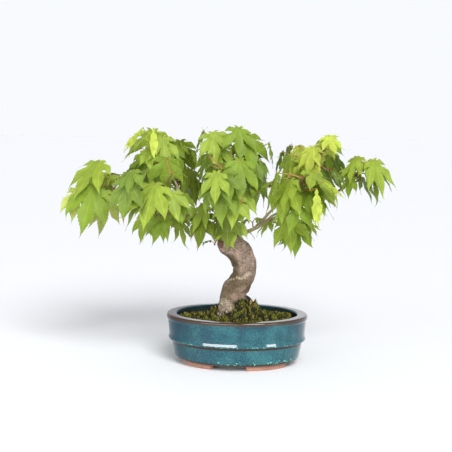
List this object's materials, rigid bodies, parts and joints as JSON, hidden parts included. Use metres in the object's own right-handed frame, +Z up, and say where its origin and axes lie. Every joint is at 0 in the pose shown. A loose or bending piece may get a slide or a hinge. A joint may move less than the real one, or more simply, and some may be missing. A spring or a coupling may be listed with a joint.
{
  "type": "potted japanese maple bonsai",
  "caption": "Small japanese maple trained as a bonsai, with a curved trunk and a wide crown of drooping palmate leaves, in an oval glazed pot on low feet.",
  "frame": {"origin": "centre of the bounding box in plan, at the level the feet stand on", "axes": "+X along the pot's length towards the right of the pictured side, +Y away from that side, +Z up"},
  "size_m": [0.3304, 0.2074, 0.2378],
  "materials": {
    "glaze": "glossy teal glaze breaking to brown at the edges",
    "unglazed_clay": "matt",
    "soil": "matt granular soil",
    "moss": "matt moss",
    "bark": "rough grey-brown bark",
    "young_bark": "smooth olive bark",
    "leaf_green": "satin leaf",
    "leaf_young": "satin leaf",
    "leaf_deep": "satin leaf"
  },
  "bodies": {
    "root": {"pot": "glaze", "foot_front_right": "unglazed_clay", "foot_front_left": "unglazed_clay", "foot_back_right": "unglazed_clay", "foot_back_left": "unglazed_clay", "soil": "soil", "moss": "moss", "trunk": "bark", "left_bough": "bark", "left_tip_bough": "young_bark", "left_upper_bough": "young_bark", "left_back_bough": "young_bark", "left_front_bough": "young_bark", "left_low_bough": "young_bark", "leader": "bark", "back_bough": "young_bark", "front_bough": "young_bark", "low_front_bough": "young_bark", "right_bough": "bark", "right_upper_bough": "young_bark", "right_tip_bough": "young_bark", "right_back_bough": "young_bark", "right_front_bough": "young_bark", "right_low_bough": "young_bark", "left_tip_foliage": "leaf_young", "left_upper_foliage": "leaf_young", "left_low_foliage": "leaf_deep", "left_back_foliage": "leaf_deep", "left_front_foliage": "leaf_green", "top_foliage": "leaf_green", "front_foliage": "leaf_green", "back_foliage": "leaf_deep", "low_front_foliage": "leaf_young", "right_front_foliage": "leaf_green", "right_upper_foliage": "leaf_young", "right_back_foliage": "leaf_deep", "right_low_foliage": "leaf_deep", "right_tip_foliage": "leaf_green"}
  },
  "joints": []
}
